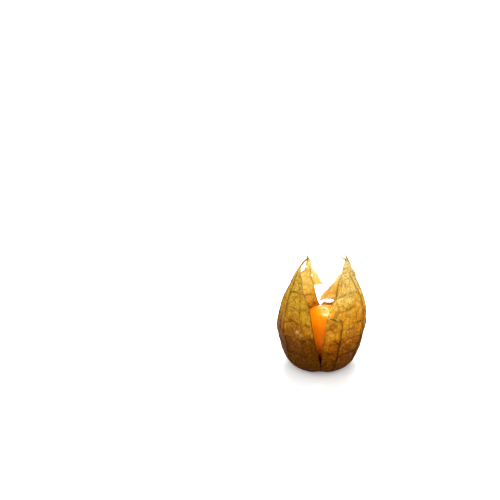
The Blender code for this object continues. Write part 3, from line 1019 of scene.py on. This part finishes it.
class Finish(Nodes):
    """A node tree with short names for the nodes that a finish uses most."""

    def math(self, operation, a, b=0.5, clamp=False):
        """One sum of a and b."""
        return self.add("ShaderNodeMath", {0: a, 1: b}, operation=operation, use_clamp=clamp).outputs[0]

    def span(self, value, low, high, to_low=0.0, to_high=1.0):
        """A value moved in proportion from one range to another, and kept inside it."""
        inputs = {0: value, 1: low, 2: high, 3: to_low, 4: to_high}
        return self.add("ShaderNodeMapRange", inputs).outputs[0]

    def mix(self, factor, a, b, blend="MIX"):
        """Colour a with colour b laid over it by the factor."""
        inputs = {0: factor, 6: a, 7: b}
        return self.add("ShaderNodeMix", inputs, data_type="RGBA", blend_type=blend).outputs[2]

    def ramp(self, value, stops):
        """A colour ramp through stops (place, sRGB colour)."""
        node = self.add("ShaderNodeValToRGB", {0: value})
        elements = node.color_ramp.elements
        for element, (place, colour) in zip(elements, (stops[0], stops[-1])):
            element.position, element.color = place, linear(*colour)
        for place, colour in stops[1:-1]:
            elements.new(place).color = linear(*colour)
        return node.outputs[0]

    def noise(self, vector, scale, detail, roughness=0.5):
        """A noise texture with its features 1 / scale apart."""
        inputs = {"Vector": vector, "Scale": scale, "Detail": detail, "Roughness": roughness}
        return self.add("ShaderNodeTexNoise", inputs).outputs

    def off(self, place, point):
        """The distance of the place from one point."""
        return self.add("ShaderNodeVectorMath", {0: place, 1: point}, operation="DISTANCE").outputs["Value"]

    def bump(self, strength, distance, height):
        """A normal that is tilted as if the surface had the given heights."""
        inputs = {"Strength": strength, "Distance": distance, "Height": height}
        return self.add("ShaderNodeBump", inputs).outputs[0]


print("short names for the usual nodes")

# %% [markdown]
# ## The paper's tones
#
# The paper is painted brown and dark towards the foot, as painted shade where the berry and the light
# from above leave the lower half in shadow, and straw yellow at the tips, lightened there by painted
# light that shines through the thin paper. The front half of the left lobe is greener and darker than
# the right lobe. The inner side is painted bright, as painted light that comes through it, and darker
# at the foot as painted shade. Painting an image would need UVs. Three colour ramps over the height
# need none and can be tuned stop by stop.

# %% The paper's tones
# Painted shade: the stops darken towards the foot, where the berry and the light from above leave the paper
# in shadow, and the top stops are lightened by painted light that comes through the paper.
LEFT_TONES_AND_PAINTED_SHADE = [
    (0.0, (98, 54, 0)), (0.2, (114, 66, 0)), (0.33, (128, 76, 0)), (0.4, (164, 108, 4)),
    (0.5, (200, 150, 30)), (0.64, (224, 186, 46)), (0.82, (242, 208, 84)), (1.0, (246, 224, 120)),
]
RIGHT_TONES_AND_PAINTED_SHADE = [
    (0.0, (98, 54, 0)), (0.2, (132, 76, 0)), (0.33, (176, 108, 2)), (0.44, (214, 150, 14)),
    (0.56, (236, 180, 44)), (0.7, (252, 220, 110)), (0.85, (255, 240, 172)), (1.0, (255, 244, 190)),
]
# Painted light: the inner side is painted bright for the light that comes through the paper, and its lowest
# stop is darker as painted shade.
INNER_TONES_AND_PAINTED_LIGHT = [
    (0.0, (150, 90, 4)), (0.3, (240, 190, 40)), (0.42, (255, 232, 90)), (0.62, (255, 246, 156)),
    (1.0, (255, 250, 210)),
]
OUTER_TISSUE = (248, 228, 170)
INNER_TISSUE = (255, 255, 232)
LIGHT_THROUGH = (255, 240, 170)
SHEEN_TINT = (255, 214, 120)
print(len(LEFT_TONES_AND_PAINTED_SHADE) + len(RIGHT_TONES_AND_PAINTED_SHADE) + len(INNER_TONES_AND_PAINTED_LIGHT), "tones of paper")

# %% [markdown]
# Veins, ribs and wear are all browns, and none is black: dry plant fibre only goes a few shades
# darker than the paper round it. Those that multiply what lies below are lighter than they will look.

# %% Veins and wear in brown
NET_BROWN = (158, 116, 60)
FINE_NET_BROWN = (170, 128, 70)
VEIN_BROWN = (140, 100, 56)
RIB_BROWN = (184, 150, 96)
RIB_LINE_BROWN = (104, 72, 40)
MOTTLE_BROWN = (176, 124, 40)
SPECK_BROWN = (184, 130, 40)
GRAIN_BROWN = (170, 124, 50)
FLECK_STRAW = (255, 238, 150)
STAIN_BROWN = (112, 62, 2)
SPOT_PALE = (226, 176, 104)
TIDE_PALE = (206, 160, 84)
TIDE_AT = 0.385  # the tone's place in its ramp where damp has left a pale line
print("a net, ribs, mottle, specks, stains and a tide line")

# %% [markdown]
# ## Stains and pale spots
#
# A few round stains and small pale spots sit in places of their own on the front. Random spots would
# fall anywhere, so each is listed with its place on the husk, and its edge is made uneven.

# %% Stains and pale spots
STAINS = [  # lobe, height, azimuth, radius, strength
    (1, 21.2, -84.0, 2.1, 0.6),
    (1, 19.2, -57.0, 1.2, 0.75),
    (1, 24.0, -46.0, 0.9, 0.5),
    (0, 18.2, -130.0, 2.4, 0.45),
    (1, 28.0, -52.0, 0.8, 0.5),
    (1, 23.0, -22.0, 1.1, 0.4),
]
PALE_SPOTS = [  # lobe, height, azimuth, radius, strength
    (1, 18.9, -57.5, 0.45, 0.9),
    (0, 18.6, -123.5, 0.9, 0.6),
    (0, 18.0, -116.0, 0.8, 0.5),
    (1, 18.5, -84.0, 0.5, 0.7),
    (1, 18.9, -88.0, 0.45, 0.6),
    (1, 16.5, -36.0, 0.4, 0.7),
    (1, 11.0, -72.0, 0.35, 0.7),
    (0, 19.5, -128.0, 0.5, 0.45),
]


def on_husk(lobe, height, azimuth):
    """The place in metres on the husk's smooth shape: its radius turned to the azimuth, plus the lean."""
    r = float(smooth(np.array([height]), OUTER_BY_HEIGHT)[0])
    a = np.radians(azimuth)
    x = float(lean(height, TIPS_X[lobe]) + r * np.cos(a)) + FOOTPRINT_SHIFT_X
    return x * MM, float(HUSK_DEPTH_SHARE * r * np.sin(a)) * MM, height * MM


def spots(n, place, listed, fringe):
    """How much each place lies in one of the listed round spots, whose edges are uneven.

    A spot is full up to 40 percent of its radius, and fades to nothing at the whole of it.
    """
    total = 0.0
    for lobe, height, azimuth, radius, strength in listed:
        reach = radius * MM
        uneven = n.span(fringe, 0.3, 0.7, -0.9 * reach, 0.9 * reach)
        away = n.math("ADD", n.off(place, on_husk(lobe, height, azimuth)), uneven)
        total = n.math("MAXIMUM", total, n.span(away, 0.4 * reach, reach, strength, 0.0))
    return total


print(len(STAINS), "stains and", len(PALE_SPOTS), "pale spots")

# %% [markdown]
# ## The net of fine veins
#
# Between the ribs a husk shows a net of veins, like a leaf. The walls between the cells of a Voronoi
# texture make such a net. In three dimensions it would cut through the curved sheet at odd angles,
# so it is drawn flat, on the sheet's own two measures, across and along, which the mesh carries as
# paint. A noise bends its straight walls.

# %% The net of fine veins
NET_SQUASH = 0.7  # cells are longer up the husk than across it
NET_BEND = (1.6, 1.6, 0.0)
COARSE_NET = (0.36, 0.07)  # cells to the millimetre, and the walls' width as a share of a cell
FINE_NET = (0.95, 0.11)


def vein_nets(n):
    """The coarse and the fine net: 1 on a wall between two cells, falling to 0 at the walls' width."""
    along = n.math("MULTIPLY", n.paint("along"), NET_SQUASH)
    flat = n.add("ShaderNodeCombineXYZ", {"X": n.paint("across"), "Y": along}).outputs[0]
    wobble = n.noise(flat, 0.6, 2.0)["Color"]
    inputs = {0: wobble, 1: NET_BEND, 2: flat}
    bent = n.add("ShaderNodeVectorMath", inputs, operation="MULTIPLY_ADD").outputs[0]
    nets = []
    for scale, wall in (COARSE_NET, FINE_NET):
        inputs = {"Vector": bent, "Scale": scale}
        cells = n.add("ShaderNodeTexVoronoi", inputs, feature="DISTANCE_TO_EDGE", voronoi_dimensions="2D")
        nets.append(n.span(cells.outputs["Distance"], 0.0, wall, 1.0, 0.0))
    return nets


print("cells", round(1 / COARSE_NET[0], 1), "and", round(1 / FINE_NET[0], 1), "mm wide")

# %% [markdown]
# ## The paper's colour, layer by layer
#
# The colour is built up as a painter would: the tone first, then the wear, then the veins, and last
# the stains and the ribs. Most layers multiply, as a brown glaze does, so that what lies below still
# shows. Noises at four scales, per metre, give blotches, mottle, specks and grain.

# %% Tone and wear
BLOTCHES = 210.0
MOTTLE = 620.0
SPECKS = 1150.0
GRAIN = 1900.0


def paper_tone(n, left_tones_lit_and_shaded, right_tones_lit_and_shaded, height, blotch):
    """The place in the ramps, the height's share moved by the blotches, and its colour with painted shade
    and light.
    """
    tone_at = n.math("ADD", height, n.span(blotch, 0.3, 0.7, -0.1, 0.1), True)
    tone = n.mix(n.paint("pale"), n.ramp(tone_at, left_tones_lit_and_shaded), n.ramp(tone_at, right_tones_lit_and_shaded))
    return tone_at, tone


def worn_paper(n, colour, place, height, mottle, grain, worn):
    """The colour with brown mottle, specks and grain, and straw flecks that get stronger higher up."""
    specks = n.noise(place, SPECKS, 2.0)["Fac"]
    colour = n.mix(n.span(mottle, 0.48, 0.66, 0.0, 0.6 * worn), colour, linear(*MOTTLE_BROWN), "MULTIPLY")
    colour = n.mix(n.span(specks, 0.6, 0.72, 0.0, 0.3 * worn), colour, linear(*SPECK_BROWN))
    colour = n.mix(n.span(grain, 0.42, 0.62, 0.0, 0.5 * worn), colour, linear(*GRAIN_BROWN), "MULTIPLY")
    flecks = n.math("MULTIPLY", n.span(grain, 0.48, 0.36), n.span(height, 0.3, 0.85, 0.02, 0.26))
    return n.mix(flecks, colour, linear(*FLECK_STRAW))


print("wear with grain", round(1000 / GRAIN, 2), "mm wide")

# %% [markdown]
# The veins come over the wear, because fibres stay whole where the soft paper between them wears. A
# pale line shows where damp once rose to, and the ribs lie on top of everything. The line follows
# one tone of the ramp, so it runs along the blotches as a real water mark does.

# %% Veins, tide line, stains and ribs


def veined_paper(n, colour, coarse, fine, worn):
    """The colour with both nets and the raised cross veins. The coarse net is fainter at the front left."""
    net = n.math("MULTIPLY", coarse, n.span(n.paint("pale"), 0.0, 1.0, 0.42, 0.75))
    vein = n.math("MULTIPLY", n.paint("vein"), 0.85, True)
    colour = n.mix(n.math("MULTIPLY", fine, 0.5 * worn), colour, linear(*FINE_NET_BROWN), "MULTIPLY")
    colour = n.mix(net, colour, linear(*NET_BROWN), "MULTIPLY")
    return n.mix(vein, colour, linear(*VEIN_BROWN), "MULTIPLY")


def tide_line(n, colour, tone_at, grain, worn):
    """The colour with a thin, broken pale line where the tone is the one at TIDE_AT."""
    off_tide = n.math("ABSOLUTE", n.math("SUBTRACT", tone_at, TIDE_AT))
    tide = n.math("MULTIPLY", n.span(off_tide, 0.003, 0.012, 0.4 * worn, 0.0), n.span(grain, 0.4, 0.6))
    return n.mix(tide, colour, linear(*TIDE_PALE))


def stained_paper(n, colour, place, mottle):
    """The colour with the listed stains and pale spots, then the brown ribs with their dark lines."""
    colour = n.mix(spots(n, place, STAINS, mottle), colour, linear(*STAIN_BROWN))
    colour = n.mix(spots(n, place, PALE_SPOTS, mottle), colour, linear(*SPOT_PALE))
    colour = n.mix(n.math("MULTIPLY", n.paint("rib"), 0.6), colour, linear(*RIB_BROWN), "MULTIPLY")
    line = n.math("MULTIPLY", n.paint("line"), 1.1, True)
    return n.mix(line, colour, linear(*RIB_LINE_BROWN), "MULTIPLY")


print("veins, tide line, stains and ribs")

# %% [markdown]
# ## The paper's material
#
# Dry husk is matt, and held against the light it glows. A Principled shader gives the surface, and a
# Translucent one the light that comes through from behind. Subsurface scattering is meant for thick
# things such as skin, and would blur the veins in a sheet this thin. The fine bump follows the nets
# and the noises, so that the veins catch the light where they are dark.

# %% The paper's material
PAPER_SPECULAR = 0.06
PAPER_BUMP = 0.6
PAPER_BUMP_DISTANCE = 0.22


def paper(name, left_tones_lit_and_shaded, right_tones_lit_and_shaded, tissue, sheen, through, worn):
    """Dry paper with ribs, veins and blotches.

    Sheen is its lowest roughness, through the share of light that passes, and worn how much it is
    mottled.
    """
    n = Finish(name)
    place = n.place()
    height = n.math("DIVIDE", n.height(place), HUSK_HEIGHT * MM)
    coarse, fine = vein_nets(n)
    blotch = n.noise(place, BLOTCHES, 5.0, 0.62)["Fac"]
    mottle = n.noise(place, MOTTLE, 4.0, 0.65)["Fac"]
    grain = n.noise(place, GRAIN, 3.0)["Fac"]

    tone_at, colour = paper_tone(n, left_tones_lit_and_shaded, right_tones_lit_and_shaded, height, blotch)
    colour = worn_paper(n, colour, place, height, mottle, grain, worn)
    colour = veined_paper(n, colour, coarse, fine, worn)
    colour = n.mix(n.math("MULTIPLY", n.paint("tissue"), 0.85, True), colour, linear(*tissue))
    colour = tide_line(n, colour, tone_at, grain, worn)
    colour = stained_paper(n, colour, place, mottle)

    heights = n.math("ADD", n.math("MULTIPLY", coarse, 0.5), n.math("MULTIPLY", fine, 0.25))
    heights = n.math("ADD", heights, n.math("MULTIPLY", blotch, 0.9))
    heights = n.math("ADD", heights, n.math("MULTIPLY", grain, 0.3))
    bump = n.bump(PAPER_BUMP, PAPER_BUMP_DISTANCE * MM, heights)
    rough = n.span(blotch, 0.3, 0.7, sheen, sheen + 0.2)
    body = n.add("ShaderNodeBsdfPrincipled", {
        "Base Color": colour, "Roughness": rough, "Normal": bump,
        "Specular IOR Level": PAPER_SPECULAR, "Specular Tint": linear(*SHEEN_TINT),
    })

    lit = n.span(n.paint("pale"), 0.0, 1.0, 0.3, 1.0)
    clear = n.math("MULTIPLY", n.span(tone_at, 0.28, 0.6, 0.0, 0.7), lit)
    passed = n.mix(clear, colour, linear(*LIGHT_THROUGH))
    glow = n.add("ShaderNodeBsdfTranslucent", {"Color": passed, "Normal": bump})
    both = n.add("ShaderNodeMixShader", {0: through, 1: body.outputs[0], 2: glow.outputs[0]})
    return n.finish(both)


# The outer tones hold painted shade at the foot, and the inner ones painted light that comes through the
# paper.
outer = paper("husk_outer_paper", LEFT_TONES_AND_PAINTED_SHADE, RIGHT_TONES_AND_PAINTED_SHADE, OUTER_TISSUE, sheen=0.55, through=0.45, worn=1.0)
inner = paper("husk_inner_paper", INNER_TONES_AND_PAINTED_LIGHT, INNER_TONES_AND_PAINTED_LIGHT, INNER_TISSUE, sheen=0.4, through=0.5, worn=0.4)
husk.data.materials.append(outer)
husk.data.materials.append(inner)
print("paper for both sides of the husk, of", len(outer.node_tree.nodes), "nodes each")

# %% [markdown]
# ## The threads' finish
#
# The threads are less than a millimetre thick, so one dry brown is all that can be seen of them. A
# texture like the paper's would be lost on them.

# %% The threads' finish
THREAD_BROWN = (150, 112, 26)


def dry_thread():
    """Plain dry brown, matt."""
    n = Finish("husk_thread")
    inputs = {"Base Color": linear(*THREAD_BROWN), "Roughness": 0.9, "Specular IOR Level": 0.1}
    return n.finish(n.add("ShaderNodeBsdfPrincipled", inputs))


threads.data.materials.append(dry_thread())
print("threads in brown", THREAD_BROWN)

# %% [markdown]
# ## The berry's skin
#
# The skin is smooth and glossy over flesh that light enters a little. It is painted deeper orange
# below and lighter on top, as painted shade where the husk closes round its lower half, with faint
# pale dots and soft clouds. Subsurface scattering suits it, because the berry is thick. The gloss
# comes from a low roughness, and its tint keeps the highlight warm.

# %% The berry's skin
# Painted shade: the stops darken from the top down, where the husk shades the berry's lower half.
BERRY_TONES_AND_PAINTED_SHADE = [
    (0.0, (190, 80, 0)), (0.45, (214, 104, 0)), (0.75, (238, 126, 0)), (0.9, (250, 136, 0)),
    (1.0, (252, 142, 0)),
]
DOT_PALE = (255, 205, 90)
SCAR_BROWN = (170, 92, 4)


def berry_colour(n, place, clouds):
    """The tone by height, darker below as painted shade, moved by the clouds, with the middles of Voronoi
    cells as dots, and the scar.
    """
    cloudy = n.span(clouds, 0.3, 0.7, -0.08, 0.08)
    level = n.math("ADD", n.span(n.height(place), 0.003, 0.0221), cloudy, True)
    dots = n.add("ShaderNodeTexVoronoi", {"Vector": place, "Scale": 1300.0}).outputs["Distance"]
    colour = n.mix(n.span(dots, 0.0, 0.22, 0.3, 0.0), n.ramp(level, BERRY_TONES_AND_PAINTED_SHADE), linear(*DOT_PALE))
    cx, cy, cz = BERRY_CENTRE
    top = (cx * MM, cy * MM, (cz + BERRY_HALF_HEIGHT - 0.1) * MM)
    scar = n.span(n.off(place, top), 0.0002, 0.0007, 1.0, 0.0)
    return n.mix(n.math("MULTIPLY", scar, 0.3), colour, linear(*SCAR_BROWN))


def berry_skin():
    """Glossy orange skin that lets a little light in, about 2 mm deep for red and less for green."""
    n = Finish("berry_glossy_skin")
    place = n.place()
    clouds = n.noise(place, 130.0, 3.0)["Fac"]
    return n.finish(n.add("ShaderNodeBsdfPrincipled", {
        "Base Color": berry_colour(n, place, clouds), "Roughness": 0.24,
        "Normal": n.bump(0.12, 0.0001, clouds),
        "Subsurface Weight": 0.2, "Subsurface Radius": (1.0, 0.4, 0.05), "Subsurface Scale": 0.002,
        "Specular IOR Level": 0.32, "Specular Tint": linear(*SHEEN_TINT),
    }))


berry.data.materials.append(berry_skin())
print("berry skin in", len(BERRY_TONES_AND_PAINTED_SHADE), "tones")

# %% [markdown]
# ## The stalk's bark
#
# The stub is dry and fibrous, with a paler cut end. A noise squeezed along Z draws out into fibres,
# and the cut's colour comes in by height alone.

# %% The stalk's bark
BARK_TONES = [(0.3, (74, 50, 20)), (0.55, (116, 84, 36)), (0.75, (150, 118, 60))]
CUT_STRAW = (196, 164, 104)


def stalk_bark():
    """Brown fibres: a noise whose Z is shrunk to 15 percent, with the cut's colour in the lowest part."""
    n = Finish("stalk_bark")
    place = n.place()
    fibres = n.add("ShaderNodeMapping", {"Vector": place, "Scale": (1.0, 1.0, 0.15)}).outputs[0]
    streaks = n.noise(fibres, 2600.0, 4.0)["Fac"]
    cut = n.span(n.height(place), 0.0005, 0.0007, 1.0, 0.0)
    colour = n.mix(n.math("MULTIPLY", cut, 0.8), n.ramp(streaks, BARK_TONES), linear(*CUT_STRAW))
    bump = n.bump(0.5, 0.0001, streaks)
    inputs = {"Base Color": colour, "Roughness": 0.75, "Normal": bump}
    return n.finish(n.add("ShaderNodeBsdfPrincipled", inputs))


stalk.data.materials.append(stalk_bark())
print("stalk bark in", len(BARK_TONES), "tones")

# %% [markdown]
# ## Tie the looks to the frame
#
# The CAD model has a plain solid for each piece. Each fine piece takes the place of its solid and rides
# on the same body. The threads are extra, and only ride.

# %% Tie the looks to the frame
PIECES = [
    (husk, "husk", "husk_paper"),
    (berry, "berry", "berry_skin"),
    (stalk, "stalk", "stalk_wood"),
]
for piece, node, slot in PIECES:
    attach(piece, "root")
    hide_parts(node)
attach(threads, "root")
print(len(PIECES) + 1, "pieces on the root body")

# %% [markdown]
# ## Floor and light
#
# The part stands on a plain pale floor. A curved backdrop could hide the horizon, but a wide plane is
# enough when the camera looks down. The floor glows a little, so that it stays as white as the
# background and keeps only a soft shadow at the husk's foot.

# %% Floor
FLOOR_WHITE = (0.93, 0.93, 0.92, 1.0)
FLOOR_GLOW = 0.2


def floor_white():
    """Matt white that adds a little white light of its own."""
    n = Finish("floor_white")
    return n.finish(n.add("ShaderNodeBsdfPrincipled", {
        "Base Color": FLOOR_WHITE, "Roughness": 0.9,
        "Emission Color": (1.0, 1.0, 1.0, 1.0), "Emission Strength": FLOOR_GLOW,
    }))


bpy.ops.mesh.primitive_plane_add(size=6.0, location=(0, 0, 0))
floor = bpy.context.object
floor.name = "floor"
floor.data.materials.append(floor_white())
print("floor 6 m wide")

# %% [markdown]
# A white world lights the part from all sides. A small lamp high behind it gives the berry its
# highlight, and a large one makes the thin paper glow from behind, as by a window. The Standard view
# transform keeps the colours as bright and full as they were written.

# %% Soft light
WORLD_STRENGTH = 1.1
LIGHTS = [  # name, width in metres, watts, place in metres
    ("top_light", 0.14, 2.4, (0.06, 0.25, 0.47)),
    ("back_light", 0.5, 4.0, (0.05, 0.5, 0.45)),
]
LIT_POINT = Vector((0, 0, 0.02))

world = bpy.data.worlds.new("soft_white")
bpy.context.scene.world = world
world.use_nodes = True
world.node_tree.nodes["Background"].inputs["Color"].default_value = (1.0, 1.0, 0.99, 1.0)
world.node_tree.nodes["Background"].inputs["Strength"].default_value = WORLD_STRENGTH
bpy.context.scene.view_settings.view_transform = "Standard"


def area_light(name, size, power, place):
    """A square soft light that looks at the lit point."""
    data = bpy.data.lights.new(name, "AREA")
    data.size = size
    data.energy = power
    lamp = bpy.data.objects.new(name, data)
    lamp.location = place
    lamp.rotation_euler = (LIT_POINT - Vector(place)).to_track_quat("-Z", "Y").to_euler()
    bpy.context.scene.collection.objects.link(lamp)


for light in LIGHTS:
    area_light(*light)
print(len(LIGHTS), "lights")

# %% [markdown]
# ## Camera
#
# The photograph looks down at the husk from 30 degrees with little perspective, so the camera has a
# long lens and stands far back. It isn't aimed at the husk's middle: it looks at the point that puts
# the husk's foot on the same place of the picture as in the photograph.

# %% Camera
PICTURE = 500  # pixels across
PIXEL = 0.000367  # metres at the husk for one of the photograph's pixels
BASE_PIXEL = (320.3, 360.5)  # where the husk's axis meets the ground
LENS = 300.0
SENSOR = 36.0
ELEVATION = np.radians(30.0)

distance = PICTURE * PIXEL * LENS / SENSOR
forward = Vector((0, float(np.cos(ELEVATION)), -float(np.sin(ELEVATION))))
upward = Vector((0, float(np.sin(ELEVATION)), float(np.cos(ELEVATION))))
rightward = Vector((1, 0, 0))
foot = Vector((FOOTPRINT_SHIFT_X * MM, 0, 0))
across, down = (pixel - PICTURE / 2 for pixel in BASE_PIXEL)
target = foot - rightward * across * PIXEL + upward * down * PIXEL

camera_data = bpy.data.cameras.new("camera")
camera_data.lens = LENS
camera_data.sensor_width = SENSOR
camera = bpy.data.objects.new("camera", camera_data)
camera.location = target - forward * distance
camera.rotation_euler = forward.to_track_quat("-Z", "Y").to_euler()
bpy.context.scene.collection.objects.link(camera)
bpy.context.scene.camera = camera
print("camera at", [round(v, 4) for v in camera.location])
